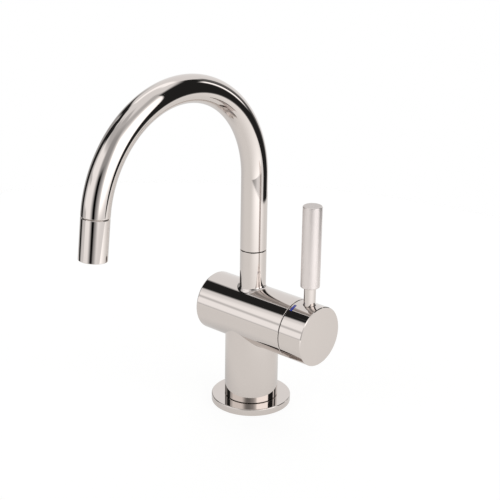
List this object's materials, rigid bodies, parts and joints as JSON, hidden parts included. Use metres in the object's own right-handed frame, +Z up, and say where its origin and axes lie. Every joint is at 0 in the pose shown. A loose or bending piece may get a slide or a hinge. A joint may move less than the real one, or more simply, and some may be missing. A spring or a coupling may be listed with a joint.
{
  "type": "hot water faucet",
  "caption": "Deck-mounted hot and cold water faucet with a swivelling gooseneck spout, a horizontal valve barrel and an upright side lever.",
  "frame": {"origin": "on the deck, at the centre of the flat foot, on the axis of the column and of the spout's swivel", "axes": "+Z up along the column; -Y the way the spout reaches at rest; +X along the barrel to the lever hub"},
  "size_m": [0.0832, 0.1612, 0.2173],
  "materials": {
    "polished_nickel": "mirror-polished nickel plate on brass, slightly warm",
    "satin_nickel": "fine satin nickel, barely brushed round the rod",
    "bare_brass": "machined brass, unplated",
    "copper_pipe": "drawn copper tube, a little dull",
    "white_ceramic": "lapped alumina ceramic, off-white",
    "black_rubber": "black nitrile rubber, matt",
    "black_acetal": "black acetal, as moulded",
    "white_acetal": "white acetal, as moulded",
    "spring_steel": "stainless spring steel and fine mesh",
    "blue_enamel": "deep blue enamel fill",
    "red_enamel": "deep red enamel fill"
  },
  "bodies": {
    "body": {"base_flange": "polished_nickel", "deck_seal": "black_rubber", "base_plug": "bare_brass", "cold_supply_pipe": "copper_pipe", "tank_feed_pipe": "copper_pipe", "hot_return_pipe": "copper_pipe", "tap_body": "polished_nickel", "valve_block": "bare_brass", "block_ring": "black_rubber", "port_gasket": "black_rubber", "fixed_ceramic_disc": "white_ceramic", "cartridge_housing": "white_acetal", "gland_nut": "bare_brass", "hub_guide_ring": "black_acetal", "swivel_nipple": "bare_brass", "swivel_lower_bush": "white_acetal", "swivel_upper_bush": "white_acetal", "swivel_lower_ring": "black_rubber", "swivel_upper_ring": "black_rubber", "snap_ring": "spring_steel", "thrust_washer": "black_acetal"},
    "spout": {"spout_tube": "polished_nickel", "outlet_bush": "bare_brass", "nozzle_sleeve": "polished_nickel", "outlet_washer": "black_rubber", "outlet_screen": "spring_steel", "flow_straightener": "white_acetal"},
    "handle": {"moving_ceramic_disc": "white_ceramic", "valve_spindle": "bare_brass", "spindle_ring": "black_rubber", "lever_hub": "polished_nickel", "lever_pin": "polished_nickel", "lever_rod": "satin_nickel", "cold_mark": "blue_enamel", "hot_mark": "red_enamel"}
  },
  "joints": [
    {"name": "spout_swivel", "type": "hinge", "parent": "body", "child": "spout", "pos_m": [0, 0, 0.1002], "axis": [0, 0, 1], "continuous": true},
    {"name": "lever_turn", "type": "hinge", "parent": "body", "child": "handle", "pos_m": [0.0362, 0, 0.0586], "axis": [1, 0, 0], "range_deg": [-45, 45]}
  ]
}
